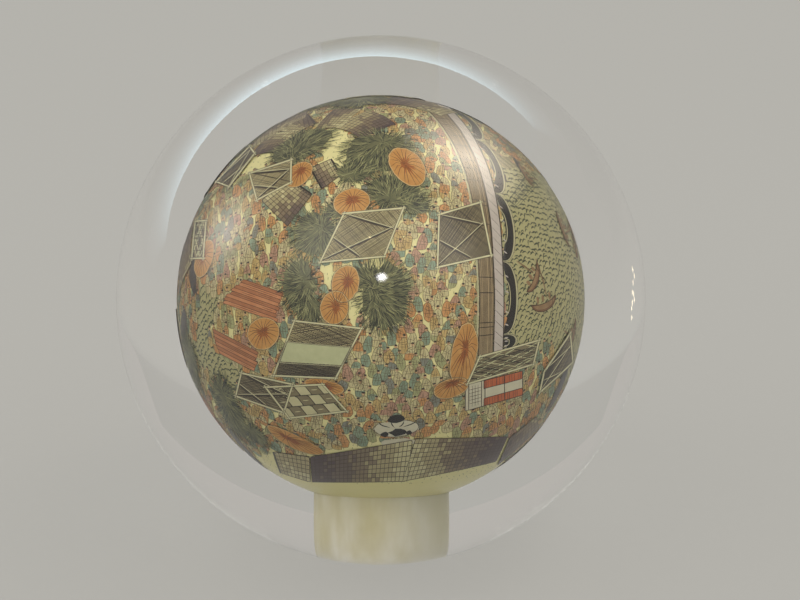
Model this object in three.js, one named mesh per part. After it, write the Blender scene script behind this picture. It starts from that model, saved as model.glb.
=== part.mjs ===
// Inside-painted crystal ball paperweight: a solid ball of clear glass with a round cavity, painted by
// brush through the neck bored up from its small ground base. Millimetres, +Z up. The origin is the
// centre of the base, on the surface that the ball stands on, and every piece is turned about Z.
import * as THREE from "three";

// Crystal
const BALL_DIAMETER = 80;
const BASE_FLAT_DIAMETER = 21;
const BASE_EDGE_BREAK = 0.4;
const CAVITY_DIAMETER = 42;
const NECK_BORE_DIAMETER = 13.5;
const BORE_MOUTH_BREAK = 0.5;

// Paint: coats laid one over another on the cavity wall, the outlines first
const COAT_THICKNESS = 0.2;
const PICTURE_EDGE_ANGLE = 31; // degrees up from the cavity's lowest point to the picture's lower edge

// Neck
const LINING_THICKNESS = 0.25;
const LINING_SETBACK = 0.9; // from the base plane
const STOPPER_LENGTH = 12;
const STOPPER_RECESS = 1.6; // from the base plane
const STOPPER_TAPER = 1.5; // degrees a side
const STOPPER_EDGE_BREAK = 0.5;

// Fits
const TOUCHING_GAP = 0.3; // left between pieces that touch

// Facets
const BALL_SEGMENTS = 60;
const COAT_SEGMENTS = 40;
const NECK_SEGMENTS = 40;
const BALL_DEGREES_PER_STEP = 6;
const CAVITY_DEGREES_PER_STEP = 11;
const COAT_DEGREES_PER_STEP = 11;

const ballRadius = BALL_DIAMETER / 2;
const cavityRadius = CAVITY_DIAMETER / 2;
const boreRadius = NECK_BORE_DIAMETER / 2;
const baseRadius = BASE_FLAT_DIAMETER / 2;
const liningRadius = boreRadius - TOUCHING_GAP;

const radians = THREE.MathUtils.degToRad;

// The height of a sphere's surface below its centre, at a distance from the Z axis
const drop = (radius, fromAxis) => Math.sqrt(radius ** 2 - fromAxis ** 2);

// The angle up from a sphere's lowest point to a circle on it, in radians
const angleTo = (radius, fromAxis) => Math.asin(fromAxis / radius);

const centreHeight = drop(ballRadius, baseRadius);
const coatRadius = (layer) => cavityRadius - TOUCHING_GAP - layer * (COAT_THICKNESS + TOUCHING_GAP);
const INK_LAYER = 0;
const COLOUR_LAYER = 1;
const GROUND_LAYER = 2;

// Points up a sphere centred at the ball's centre, from an angle above its lowest point to its top on
// the axis, with a point at its widest so that it measures its full diameter
function arcToTop(radius, from, degreesPerStep) {
  const widest = Math.PI / 2;
  const below = Math.ceil((widest - from) / radians(degreesPerStep));
  const above = Math.ceil(widest / radians(degreesPerStep));
  const angles = [
    ...Array.from({ length: below }, (_, i) => from + ((widest - from) * i) / below),
    ...Array.from({ length: above }, (_, i) => widest + (widest * i) / above),
  ];
  const points = angles.map(
    (angle) => new THREE.Vector2(radius * Math.sin(angle), centreHeight - radius * Math.cos(angle)),
  );
  return [...points, new THREE.Vector2(0, centreHeight + radius)];
}

// A profile of [distance from the axis, height] turned about Z
function turned(name, profile, segments, look) {
  const geometry = new THREE.LatheGeometry(profile, segments).rotateX(Math.PI / 2);
  const mesh = new THREE.Mesh(geometry, new THREE.MeshStandardMaterial(look));
  mesh.name = name;
  return mesh;
}

// The ball, ground flat at the base, with the neck bored up into the cavity
function crystalBall() {
  const edge = angleTo(ballRadius, baseRadius + BASE_EDGE_BREAK);
  const mouth = angleTo(cavityRadius, boreRadius);
  const profile = [
    ...arcToTop(cavityRadius, mouth, CAVITY_DEGREES_PER_STEP).reverse(),
    new THREE.Vector2(boreRadius, BORE_MOUTH_BREAK),
    new THREE.Vector2(boreRadius + BORE_MOUTH_BREAK, 0),
    new THREE.Vector2(baseRadius - BASE_EDGE_BREAK, 0),
    ...arcToTop(ballRadius, edge, BALL_DEGREES_PER_STEP),
  ];
  return turned("crystal_ball", profile, BALL_SEGMENTS, { color: 0xe8ecef, roughness: 0.02, metalness: 0 });
}

// One coat of paint: an even skin inside the cavity, open at the bottom
function coat(name, layer, openAngle, look) {
  const outer = coatRadius(layer);
  const profile = [
    ...arcToTop(outer - COAT_THICKNESS, openAngle, COAT_DEGREES_PER_STEP).reverse(),
    ...arcToTop(outer, openAngle, COAT_DEGREES_PER_STEP),
  ];
  return turned(name, profile, COAT_SEGMENTS, look);
}

// The outlines, drawn first and so nearest the glass, stop at the picture's lower edge
function inkLineFilm() {
  const look = { color: 0x2b2418, roughness: 0.6, metalness: 0 };
  return coat("ink_line_film", INK_LAYER, radians(PICTURE_EDGE_ANGLE), look);
}

// The colours, laid behind the outlines, stop with them
function colourFilm() {
  const look = { color: 0xb9764a, roughness: 0.6, metalness: 0 };
  return coat("colour_film", COLOUR_LAYER, radians(PICTURE_EDGE_ANGLE), look);
}

// The pale ground behind the whole picture goes on down to the neck
function groundCoat() {
  const look = { color: 0xb9b37e, roughness: 0.7, metalness: 0 };
  return coat("ground_coat", GROUND_LAYER, angleTo(coatRadius(GROUND_LAYER), boreRadius), look);
}

// The cream coat on the ground wall of the neck, from near the base up to the ground coat
function neckLining() {
  const inner = liningRadius - LINING_THICKNESS;
  const top = centreHeight - drop(coatRadius(GROUND_LAYER), liningRadius) - TOUCHING_GAP;
  const profile = [
    new THREE.Vector2(liningRadius, LINING_SETBACK),
    new THREE.Vector2(liningRadius, top),
    new THREE.Vector2(inner, top),
    new THREE.Vector2(inner, LINING_SETBACK),
    new THREE.Vector2(liningRadius, LINING_SETBACK),
  ];
  return turned("neck_lining", profile, NECK_SEGMENTS, { color: 0xd8d2b0, roughness: 0.8, metalness: 0 });
}

// The tapered stopper pushed up into the lined neck, clear of the surface that the ball stands on
function neckStopper() {
  const bottomRadius = liningRadius - LINING_THICKNESS - TOUCHING_GAP;
  const topRadius = bottomRadius - STOPPER_LENGTH * Math.tan(radians(STOPPER_TAPER));
  const top = STOPPER_RECESS + STOPPER_LENGTH;
  const profile = [
    new THREE.Vector2(0, STOPPER_RECESS),
    new THREE.Vector2(bottomRadius - STOPPER_EDGE_BREAK, STOPPER_RECESS),
    new THREE.Vector2(bottomRadius, STOPPER_RECESS + STOPPER_EDGE_BREAK),
    new THREE.Vector2(topRadius, top - STOPPER_EDGE_BREAK),
    new THREE.Vector2(topRadius - STOPPER_EDGE_BREAK, top),
    new THREE.Vector2(0, top),
  ];
  return turned("neck_stopper", profile, NECK_SEGMENTS, { color: 0xd9d6c8, roughness: 0.5, metalness: 0 });
}

const group = new THREE.Group();
group.add(crystalBall(), inkLineFilm(), colourFilm(), groundCoat(), neckLining(), neckStopper());

export default group;
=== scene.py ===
import math

import bpy
import numpy as np
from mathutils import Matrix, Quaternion, Vector


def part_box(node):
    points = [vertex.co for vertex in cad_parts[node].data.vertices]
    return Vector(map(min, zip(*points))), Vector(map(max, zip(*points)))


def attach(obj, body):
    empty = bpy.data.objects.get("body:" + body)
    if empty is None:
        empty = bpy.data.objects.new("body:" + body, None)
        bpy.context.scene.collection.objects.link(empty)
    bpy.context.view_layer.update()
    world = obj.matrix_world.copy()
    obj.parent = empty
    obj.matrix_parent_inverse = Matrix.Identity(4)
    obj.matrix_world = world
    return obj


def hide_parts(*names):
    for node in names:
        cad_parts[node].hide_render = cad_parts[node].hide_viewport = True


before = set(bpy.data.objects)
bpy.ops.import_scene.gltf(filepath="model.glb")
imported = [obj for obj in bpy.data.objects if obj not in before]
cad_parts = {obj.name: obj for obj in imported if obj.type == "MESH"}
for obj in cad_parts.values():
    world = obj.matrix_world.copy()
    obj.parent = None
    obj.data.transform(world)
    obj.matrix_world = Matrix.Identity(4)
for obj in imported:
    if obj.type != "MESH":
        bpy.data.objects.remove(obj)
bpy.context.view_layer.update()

# ---------------------------------------------------------------------------------------------------
# The crystal ball: one piece of clear optical glass, ground and polished round, with its cavity and
# the neck bored up from the base. Only the base ring and the wall of the neck are left ground.

MM = 0.001
GLASS_INDEX = 1.5
BALL_AROUND = 192
BALL_STEPS = 96
GROUND_EDGE = 0.4 * MM
COAT_STEP = 0.004 * MM
PICTURE_DEPTH = 46 * COAT_STEP

ball_low, ball_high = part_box("crystal_ball")
BALL_RADIUS = (ball_high.x - ball_low.x) / 2
BALL_CENTRE = Vector((0, 0, ball_high.z - BALL_RADIUS))
WALL_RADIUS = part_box("ink_line_film")[1].x
NECK_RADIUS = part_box("neck_lining")[1].x
BASE_RADIUS = math.sqrt(BALL_RADIUS**2 - BALL_CENTRE.z**2)


class Value:
    """One output of a material's nodes. Python's operators on it add Math nodes."""

    def __init__(self, finish, socket):
        self.finish = finish
        self.socket = socket

    def math(self, operation, *terms):
        return self.finish.node("ShaderNodeMath", {"operation": operation}, dict(enumerate(terms)))

    def __add__(self, other):
        return self.math("ADD", self, other)

    def __rsub__(self, other):
        return self.math("SUBTRACT", other, self)

    def __mul__(self, other):
        return self.math("MULTIPLY", self, other)

    def __pow__(self, other):
        return self.math("POWER", self, other)

    __radd__ = __add__
    __rmul__ = __mul__


class Finish:
    """A material with one Principled shader. node() adds any node and gives its output."""

    def __init__(self, name, shader):
        self.material = bpy.data.materials.new(name)
        self.material.use_nodes = True
        self.tree = self.material.node_tree
        self.shader = next(n for n in self.tree.nodes if n.type == "BSDF_PRINCIPLED")
        self.set(self.shader, shader)

    def set(self, node, values):
        for key, value in values.items():
            socket = next(s for i, s in enumerate(node.inputs) if key in (i, s.identifier, s.name))
            if isinstance(value, Value):
                self.tree.links.new(value.socket, socket)
            elif isinstance(value, tuple) and len(value) == 3 and socket.type == "RGBA":
                socket.default_value = (*value, 1)
            else:
                socket.default_value = value

    def node(self, kind, settings=None, values=None, output=None):
        node = self.tree.nodes.new(kind)
        for key, value in (settings or {}).items():
            setattr(node, key, value)
        self.set(node, values or {})
        shown = [s for s in node.outputs if s.enabled]
        return Value(self, next((s for s in shown if s.name == output), shown[0]))

    def place(self):
        return self.node("ShaderNodeTexCoord", output="Object")

    def noise(self, size, detail=2.0, at=None):
        values = {"Vector": at or self.place(), "Scale": 1 / size, "Detail": detail}
        return self.node("ShaderNodeTexNoise", {}, values)

    def between(self, amount, low, high):
        values = {"Factor_Float": amount, "A_Color": low, "B_Color": high}
        return self.node("ShaderNodeMix", {"data_type": "RGBA"}, values, "Result")

    def bump(self, height, distance):
        values = {"Height": height, "Distance": distance, "Strength": 1.0}
        return self.node("ShaderNodeBump", {}, values)


def shaped(name, points, faces, *finishes):
    """A smooth mesh object in the scene, with these materials."""
    mesh = bpy.data.meshes.new(name)
    mesh.from_pydata([tuple(p) for p in points], [], [tuple(f) for f in faces])
    for finish in finishes:
        mesh.materials.append(finish.material)
    mesh.polygons.foreach_set("use_smooth", np.ones(len(faces), bool))
    made = bpy.data.objects.new(name, mesh)
    bpy.context.scene.collection.objects.link(made)
    return made


def piece(name, points, faces, slot, node, *finishes, worn=None, maps=None):
    """A smooth mesh piece in the object's own frame, which stands for one CAD node."""
    made = shaped(name, points, faces, *finishes)
    mesh = made.data
    if worn is not None:
        mesh.polygons.foreach_set("material_index", np.asarray(worn, np.int32))
    if maps is not None:
        corners = np.empty(len(mesh.loops), np.int32)
        mesh.loops.foreach_get("vertex_index", corners)
        mesh.uv_layers.new(name="OFBake").uv.foreach_set("vector", maps[corners].ravel())
    mesh.update()
    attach(made, "root")
    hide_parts(node)
    return made


def arc(radius, start, end, steps):
    """Points round the ball's centre, in a half plane from the axis, by degrees up from straight below."""
    angles = np.radians(np.linspace(start, end, steps + 1))
    return [(radius * math.sin(a), BALL_CENTRE.z - radius * math.cos(a)) for a in angles]


def turned(profile, around):
    """A profile of distances from the axis and heights, going up outside, turned about Z."""
    angles = np.linspace(0, 2 * math.pi, around, endpoint=False)
    points, faces = [], []
    rings = []
    for out, height in profile:
        if out < 1e-9:
            rings.append([len(points)])
            points.append((0, 0, height))
        else:
            rings.append(list(range(len(points), len(points) + around)))
            points += [(out * math.cos(a), out * math.sin(a), height) for a in angles]
    stretches = []
    for stretch, (low, high) in enumerate(zip(rings, rings[1:])):
        for i in range(around):
            j = (i + 1) % around
            if len(low) == 1:
                face = [low[0], high[j], high[i]]
            elif len(high) == 1:
                face = [low[i], low[j], high[0]]
            else:
                face = [low[i], low[j], high[j], high[i]]
            faces.append(face)
            stretches.append(stretch)
    return points, faces, stretches


def crystal_ball():
    """The wall round the cavity is drawn a hair behind the paint, because paint wets the glass."""
    glass = {"IOR": GLASS_INDEX, "Transmission Weight": 1.0}
    polished = Finish("polished crystal", {"Base Color": (1, 1, 1), "Roughness": 0.0, **glass})
    ground = Finish("ground crystal", {"Base Color": (0.93, 0.94, 0.93), "Roughness": 0.5, **glass})
    ground.set(ground.shader, {"Normal": ground.bump(ground.noise(0.12 * MM, 3), 0.02 * MM)})
    wall = WALL_RADIUS - PICTURE_DEPTH
    bore = NECK_RADIUS - 0.2 * MM
    mouth = math.degrees(math.asin(bore / wall))
    foot = math.degrees(math.asin((BASE_RADIUS + GROUND_EDGE) / BALL_RADIUS))
    inside = arc(wall, 180, mouth, BALL_STEPS // 2)
    base = [
        (bore, GROUND_EDGE),
        (bore + GROUND_EDGE, ball_low.z),
        (BASE_RADIUS - GROUND_EDGE, ball_low.z),
    ]
    outside = arc(BALL_RADIUS, foot, 180, BALL_STEPS)
    inside[0] = (0, inside[0][1])
    outside[-1] = (0, outside[-1][1])
    points, faces, stretches = turned(inside + base + outside, BALL_AROUND)
    first = len(inside) - 1
    worn = [1 if first <= s < first + len(base) + 1 else 0 for s in stretches]
    ball = piece("crystal_ball_glass", points, faces, "crystal", "crystal_ball", polished, ground, worn=worn)
    ball.data.validate()


crystal_ball()

# ---------------------------------------------------------------------------------------------------
# The ground coat: a thin pale yellow-green colour brushed over the whole wall behind the picture, and
# on below it to the neck, where it shows bare. Inks and colours under it were dried first.

GROUND_LEVEL = 42


def level(number):
    """The radius of a coat, counted from the one that was laid first, on the glass."""
    return WALL_RADIUS - number * COAT_STEP


def flat_map(directions):
    """Each point's place on a round map of the wall, with the top in the middle, for the colours."""
    down = np.arccos(np.clip(directions[:, 2], -1, 1))
    around = np.arctan2(directions[:, 1], directions[:, 0])
    out = 0.49 * np.sin(down / 2)
    return np.stack([0.5 + out * np.cos(around), 0.5 + out * np.sin(around)], 1)


def ground_coat():
    wash = Finish("ground wash", {})
    broad = wash.noise(6 * MM, 3)
    fine = wash.noise(0.5 * MM, 3)
    tint = wash.between(broad, (0.80, 0.73, 0.31), (0.90, 0.83, 0.43))
    tint = wash.between(0.35 * fine, tint, (0.66, 0.63, 0.29))
    wash.set(wash.shader, {"Base Color": tint, "Roughness": 0.22 + 0.2 * fine})
    radius = level(GROUND_LEVEL)
    start = math.degrees(math.asin((NECK_RADIUS - 0.1 * MM) / radius))
    profile = arc(radius, start, 180, 100)
    profile[-1] = (0, profile[-1][1])
    points, faces, _ = turned(profile, 216)
    directions = (np.array(points) - np.array(BALL_CENTRE)) / radius
    piece("ground_coat_wash", points, faces, "ground", "ground_coat", wash, maps=flat_map(directions))


ground_coat()

# ---------------------------------------------------------------------------------------------------
# The neck: its ground wall carries a cream coat, uneven as it ran while wet, with the palest of its runs
# painted near white as highlights and its right side painted greyer as shade. A tapered stopper closes
# it, pushed up clear of the surface that the ball stands on.


def neck_lining():
    cream = Finish("neck cream", {"Roughness": 0.5})
    place = cream.place()
    stretched = cream.node("ShaderNodeVectorMath", {"operation": "MULTIPLY"}, {0: place, 1: (1, 1, 0.35)})
    runs_and_highlights = cream.noise(2.6 * MM, 3, stretched)
    clouds = cream.noise(5.0 * MM, 2)
    across = cream.node("ShaderNodeSeparateXYZ", {}, {0: place}, "X")
    ranges = {"Value": across, "From Min": -1 * MM, "From Max": 6 * MM}
    right_side_shade = cream.node("ShaderNodeMapRange", {"interpolation_type": "SMOOTHSTEP"}, ranges)
    tint = cream.between(clouds, (0.52, 0.45, 0.17), (0.80, 0.74, 0.44))
    # painted highlight: the palest of the coat's runs turn near white
    tint = cream.between(runs_and_highlights**2 * 1.6, tint, (0.93, 0.90, 0.78))
    # painted shade: the coat turns greyer towards its right side
    tint = cream.between(0.7 * right_side_shade, tint, (0.46, 0.45, 0.35))
    cream.set(cream.shader, {"Base Color": tint, "Normal": cream.bump(runs_and_highlights, 0.15 * MM)})
    low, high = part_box("neck_lining")
    outer, inner = NECK_RADIUS, NECK_RADIUS - 0.2 * MM
    heights = np.linspace(low.z, high.z, 24)
    profile = [(inner, h) for h in heights[::-1]] + [(outer, h) for h in heights] + [(inner, high.z)]
    points, faces, _ = turned(profile, 96)
    piece("neck_cream_coat", points, faces, "lining", "neck_lining", cream)


def neck_stopper():
    rubber = Finish("stopper", {})
    grain = rubber.noise(0.4 * MM, 4)
    blotch = rubber.noise(3 * MM, 2)
    tint = rubber.between(blotch, (0.60, 0.57, 0.45), (0.74, 0.71, 0.60))
    rubber.set(
        rubber.shader,
        {"Base Color": tint, "Roughness": 0.5 + 0.2 * grain, "Normal": rubber.bump(grain, 0.05 * MM)},
    )
    low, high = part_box("neck_stopper")
    foot = high.x
    tip = foot - (high.z - low.z) * math.tan(math.radians(1.5))
    edge = 0.5 * MM
    lip = [
        (foot - edge + edge * math.sin(a), low.z + edge - edge * math.cos(a))
        for a in np.radians(np.linspace(0, 90, 7))
    ]
    dish = [(0, low.z + 0.5 * MM), (foot * 0.45, low.z + 0.42 * MM), (foot * 0.75, low.z + 0.1 * MM)]
    crown = [
        (tip - edge + edge * math.cos(a), high.z - edge + edge * math.sin(a))
        for a in np.radians(np.linspace(0, 90, 7))
    ]
    points, faces, _ = turned(dish + lip + crown + [(0, high.z)], 96)
    piece("neck_stopper_plug", points, faces, "stopper", "neck_stopper", rubber)


neck_lining()
neck_stopper()

# ---------------------------------------------------------------------------------------------------
# The picture: a riverside market seen from above, painted from inside with bent brushes a few hairs
# wide. What stands in front is laid first, on the glass, and what is behind it goes on over its back.

STROKE_STEP = 0.5
CELL = 0.5
SEEN_WIDTH = 25.3
PICTURE_TILT = 19

brush = np.random.default_rng(1207)


class Paint:
    """Everything laid with one colour, gathered into one piece. coats counts what its group lies behind."""

    def __init__(self, coats, name, dark, pale, slot="colours", pooling=0.5):
        self.coats = coats
        self.name = name
        self.dark, self.pale = tone(dark), tone(pale)
        self.slot = slot
        self.pooling = pooling
        self.points = []
        self.faces = []
        self.count = 0

    def lay(self, directions, faces, behind):
        self.points.append(directions * level(self.coats + behind))
        self.faces.append(np.asarray(faces).reshape(-1, 3) + self.count)
        self.count += len(directions)


def tone(code):
    """A colour as a painter's chart gives it, in linear light."""
    parts = [int(code[i : i + 2], 16) / 255 for i in (0, 2, 4)]
    return tuple(p / 12.92 if p < 0.04 else ((p + 0.055) / 1.055) ** 2.4 for p in parts)


def mixed(coats, *rows):
    """The paints of one group: the piece's name, the dark and pale tones, the slot and the pooling."""
    return [Paint(coats, *row) for row in rows]


def dried(paints):
    """The pieces of these colours. Each pools darker and thins paler, as a wet wash does."""
    for paint in paints:
        finish = Finish(paint.name, {})
        pool = finish.noise(0.9 * MM, 3)
        grain = finish.noise(0.12 * MM, 2)
        tint = finish.between(pool**1.5 * (2 * paint.pooling), paint.dark, paint.pale)
        tint = finish.between(0.4 * grain, tint, tuple(0.72 * c for c in paint.dark))
        finish.set(finish.shader, {"Base Color": tint, "Roughness": 0.22 + 0.2 * grain})
        points = np.concatenate(paint.points)
        directions = points / np.linalg.norm(points, axis=1, keepdims=True)
        points = points + np.array(BALL_CENTRE)
        faces = np.concatenate(paint.faces)
        node = {"ink": "ink_line_film", "colours": "colour_film"}[paint.slot]
        piece(paint.name, points, faces, paint.slot, node, finish, maps=flat_map(directions))


class Page:
    """One side of the wall as the ball's lens shows it. Places are shares of the seen disc's radius."""

    def __init__(self, azimuth, elevation):
        a, e = math.radians(azimuth), math.radians(elevation)
        self.front = np.array((math.sin(a) * math.cos(e), -math.cos(a) * math.cos(e), math.sin(e)))
        self.right = np.array((math.cos(a), math.sin(a), 0.0))
        self.up = np.cross(self.front, self.right)
        self.seen = np.linspace(0, 1, 600)
        bent = self.seen * GLASS_INDEX * WALL_RADIUS / BALL_RADIUS
        self.angles = np.arcsin(self.seen) + np.arcsin(bent) - np.arcsin(bent / GLASS_INDEX)

    def __call__(self, places):
        places = np.atleast_2d(places)
        out = np.maximum(np.hypot(places[:, 0], places[:, 1]), 1e-6)
        angle = np.interp(out, self.seen, self.angles)
        across = (np.sin(angle) / out)[:, None]
        aside = places[:, :1] * self.right + places[:, 1:] * self.up
        return np.cos(angle)[:, None] * self.front + across * aside

    def find(self, directions):
        """The places of these directions. One that can't be seen from here is more than 1 from the middle."""
        ahead = directions @ self.front
        angle = np.arccos(np.clip(ahead, -1, 1))
        out = np.interp(angle, self.angles, self.seen) + np.maximum(angle - self.angles[-1], 0)
        scale = out / np.maximum(np.sin(angle), 1e-6)
        return np.stack([directions @ self.right * scale, directions @ self.up * scale], 1)


def spot(page, u, v, turn=0.0):
    """A patch of the wall round one place of a page: millimetres right and up from there."""
    centre = page([(u, v)])[0]
    ahead = page([(u, v + 0.01)])[0] - centre
    up = ahead - centre * (ahead @ centre)
    up /= np.linalg.norm(up)
    right = np.cross(up, centre)
    a = math.radians(turn)
    across, ahead = right * math.cos(a) + up * math.sin(a), up * math.cos(a) - right * math.sin(a)

    def place(points):
        points = np.atleast_2d(points) * MM / WALL_RADIUS
        out = np.maximum(np.hypot(points[:, 0], points[:, 1]), 1e-9)
        aside = (points[:, :1] * across + points[:, 1:] * ahead) / out[:, None]
        return np.cos(out)[:, None] * centre + np.sin(out)[:, None] * aside

    return place


def flat(page, u, v):
    """A stretch of a page itself: millimetres as they look in the middle of the seen disc."""
    return lambda points: page(np.atleast_2d(points) / SEEN_WIDTH + (u, v))


def smooth_line(places, steps=30):
    """A smooth line through these places."""
    p = np.asarray(places, float)
    p = np.vstack([2 * p[0] - p[1], p, 2 * p[-1] - p[-2]])
    t = np.linspace(0, 1, steps, endpoint=False)[:, None]
    parts = [
        0.5 * (2 * b + (c - a) * t + (2 * a - 5 * b + 4 * c - d) * t**2 + (3 * b - a - 3 * c + d) * t**3)
        for a, b, c, d in zip(p, p[1:], p[2:], p[3:])
    ]
    return np.vstack([*parts, p[-2:-1]])


def track(page, places):
    """A band of the wall along a smooth line on a page: millimetres along it and to its left."""
    line = page(smooth_line(places))
    gaps = np.linalg.norm(np.diff(line, axis=0), axis=1) * WALL_RADIUS / MM
    along = np.concatenate([[0], np.cumsum(gaps)])
    ahead = np.gradient(line, axis=0)
    left = np.cross(line, ahead)
    left /= np.linalg.norm(left, axis=1, keepdims=True)

    def place(points):
        points = np.atleast_2d(points)
        at, aside = (np.stack([np.interp(points[:, 0], along, c) for c in m.T], 1) for m in (line, left))
        at /= np.linalg.norm(at, axis=1, keepdims=True)
        off = points[:, 1:] * MM / WALL_RADIUS
        return at * np.cos(off) + aside * np.sin(off)

    place.length = along[-1]
    return place


def wall_lengths(place, path):
    """How far along the wall each point of a path is, in millimetres."""
    gaps = np.linalg.norm(np.diff(place(path), axis=0), axis=1) * WALL_RADIUS / MM
    return np.concatenate([[0], np.cumsum(gaps)])


def evenly(place, path):
    """The same path with even steps on the wall."""
    path = np.asarray(path, float)
    ends = np.arange(len(path))
    fine = np.linspace(0, ends[-1], 5 * ends[-1] + 1)
    path = np.stack([np.interp(fine, ends, c) for c in path.T], 1)
    along = wall_lengths(place, path)
    at = np.linspace(0, along[-1], max(4, math.ceil(along[-1] / STROKE_STEP) + 1))
    return np.stack([np.interp(at, along, c) for c in path.T], 1)


def stroke(paint, place, path, width, behind, tip=0.35):
    """One brush stroke, in millimetres on its patch: wide in the middle, lifted to a tip at both ends."""
    path = evenly(place, path)
    count = len(path)
    ahead = np.gradient(path, axis=0)
    ahead /= np.maximum(np.hypot(ahead[:, 0], ahead[:, 1]), 1e-9)[:, None]
    side = np.stack([-ahead[:, 1], ahead[:, 0]], 1)
    full = tip + (1 - tip) * np.sin(np.pi * np.linspace(0, 1, count)) ** 0.6
    side *= (width / 2 * full)[:, None]
    k = np.arange(count - 1)
    near, far = k + count, k
    faces = [np.stack([near, near + 1, far + 1], 1), np.stack([near, far + 1, far], 1)]
    paint.lay(place(np.concatenate([path + side, path - side])), np.concatenate(faces), behind)


def loop(paint, place, outline, width, behind):
    """An outline drawn round and closed, in one even stroke."""
    stroke(paint, place, np.vstack([outline, outline[:1]]), width, behind, tip=0.8)


def blot(paint, place, outline, behind, cell=CELL):
    """A filled shape that can all be seen from its middle."""
    outline = np.asarray(outline, float)
    middle = outline.mean(0)
    out = np.linalg.norm(place(outline) - place(middle), axis=1).max() * WALL_RADIUS / MM
    rings = max(1, math.ceil(out / cell))
    count = len(outline)
    points = [middle[None]]
    points += [middle + (outline - middle) * (r + 1) / rings for r in range(rings)]
    k = np.arange(count)
    after = (k + 1) % count
    faces = [np.stack([0 * k, 1 + k, 1 + after], 1)]
    for r in range(1, rings):
        low, high = 1 + (r - 1) * count, 1 + r * count
        faces.append(np.stack([low + k, high + k, high + after], 1))
        faces.append(np.stack([low + k, high + after, low + after], 1))
    paint.lay(place(np.concatenate(points)), np.concatenate(faces), behind)


def between_corners(corners, across, up):
    """Points inside four corners, by shares across and up. The corners go round from the lower left."""
    a, b, c, d = np.asarray(corners, float)
    x, y = np.asarray(across)[..., None], np.asarray(up)[..., None]
    return (1 - y) * ((1 - x) * a + x * b) + y * ((1 - x) * d + x * c)


def sheet(paint, place, corners, behind):
    """A filled four-cornered shape."""
    share = np.linspace(0, 1, 9)
    flat_on = np.zeros(9)
    edges = [(share, flat_on), (share, flat_on + 1), (flat_on, share), (flat_on + 1, share)]
    steps = [8 * np.diff(wall_lengths(place, between_corners(corners, *edge))).max() for edge in edges]
    wide = math.ceil(max(steps[:2]) / CELL) + 1
    high = math.ceil(max(steps[2:]) / CELL) + 1
    x, y = np.meshgrid(np.linspace(0, 1, wide), np.linspace(0, 1, high))
    points = between_corners(corners, x.ravel(), y.ravel())
    i, j = np.meshgrid(np.arange(wide - 1), np.arange(high - 1))
    k = (j * wide + i).ravel()
    faces = [np.stack([k, k + 1, k + wide + 1], 1), np.stack([k, k + wide + 1, k + wide], 1)]
    paint.lay(place(points), np.concatenate(faces), behind)


def hatch(paint, place, corners, count, lean, width, behind, wobble=0.0):
    """Lines across four corners: lean 0 goes across, 1 and -1 from corner to corner, None up and down."""
    for c in np.linspace(-1, 1, count + 2)[1:-1] if lean else np.linspace(0, 1, count + 2)[1:-1]:
        c += brush.normal(0, wobble / count) if wobble else 0
        if lean is None:
            ends = ((c, 0), (c, 1))
        elif lean == 0:
            ends = ((0, c), (1, c))
        else:
            ends = ((max(0, c), max(0, -c)), (min(1, 1 + c), min(1, 1 - c)))
        x, y = np.array(ends).T
        if lean == -1:
            x = 1 - x
        stroke(paint, place, between_corners(corners, x, y), width, behind, tip=0.6)


def oval(wide, high, count=20, at=(0, 0), wobble=0.0):
    """The outline of an oval, a little uneven if asked."""
    a = np.linspace(0, 2 * math.pi, count, endpoint=False)
    out = 1 + brush.normal(0, wobble, count) if wobble else 1
    return np.stack([at[0] + wide / 2 * np.cos(a) * out, at[1] + high / 2 * np.sin(a) * out], 1)


def pinned(page, *places):
    """A stretch of a page between four places, which go round from the lower left."""
    return flat(page, 0, 0), np.array(places) * SEEN_WIDTH


def tilted(page, u, v, turn, wide, high, lean=0.0):
    """A four-cornered patch by its middle, turn and size. lean slants it, in millimetres."""
    x, y = wide / 2, high / 2
    corners = ((-x - lean, -y), (x - lean, -y), (x + lean, y), (-x + lean, y))
    return spot(page, u, v, turn), np.array(corners)


front = Page(0, PICTURE_TILT)
back = Page(180, PICTURE_TILT)

# ---------------------------------------------------------------------------------------------------
# Willows: thick clumps of fine flicked strokes over a dark olive wash, streaming out from the heart
# to a loose fringe. The palest flicks went on the glass first, the darker ones and the wash after.

WILLOW_LEVEL = 11
WILLOW_FLICKS = 3.4

willow_light, willow_shade, willow_leaf, willow_wash = willow_paints = mixed(
    WILLOW_LEVEL,
    ("willow_light_strokes", "9c9c66", "bcb987"),
    ("willow_shade_strokes", "23261a", "363a2b", "ink"),
    ("willow_leaf_strokes", "4b4f35", "6a6b47"),
    ("willow_olive_wash", "5a5a3c", "88875c", "colours", 0.6),
)


def willow(place, wide, high, stream=90.0):
    """A clump this wide and high in millimetres. stream is the way its strokes run, in degrees."""
    blot(willow_wash, place, oval(0.86 * wide, 0.86 * high, 30, wobble=0.06), 3)
    strokes = int(WILLOW_FLICKS * wide * high)
    run = np.array((math.cos(math.radians(stream)), math.sin(math.radians(stream))))
    for paint, behind, share, width, reach in (
        (willow_light, 0, 0.8, 0.055, 0.92),
        (willow_shade, 1, 1.0, 0.09, 0.76),
        (willow_leaf, 2, 1.1, 0.1, 0.95),
    ):
        for _ in range(int(share * strokes)):
            a = brush.uniform(0, 2 * math.pi)
            out = math.sqrt(brush.uniform(0, 1))
            away = np.array((math.cos(a), math.sin(a)))
            start = away * (wide / 2, high / 2) * out * reach
            ahead = away * out + run * (0.75 - 0.5 * out) + brush.normal(0, 0.16, 2)
            ahead /= np.hypot(*ahead)
            long = brush.uniform(0.7, 1.5)
            bend = np.array((-ahead[1], ahead[0])) * brush.normal(0, 0.08) * long
            path = [start, start + ahead * long / 2 + bend, start + ahead * long]
            stroke(paint, place, path, width, behind, tip=0.15)


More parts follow.
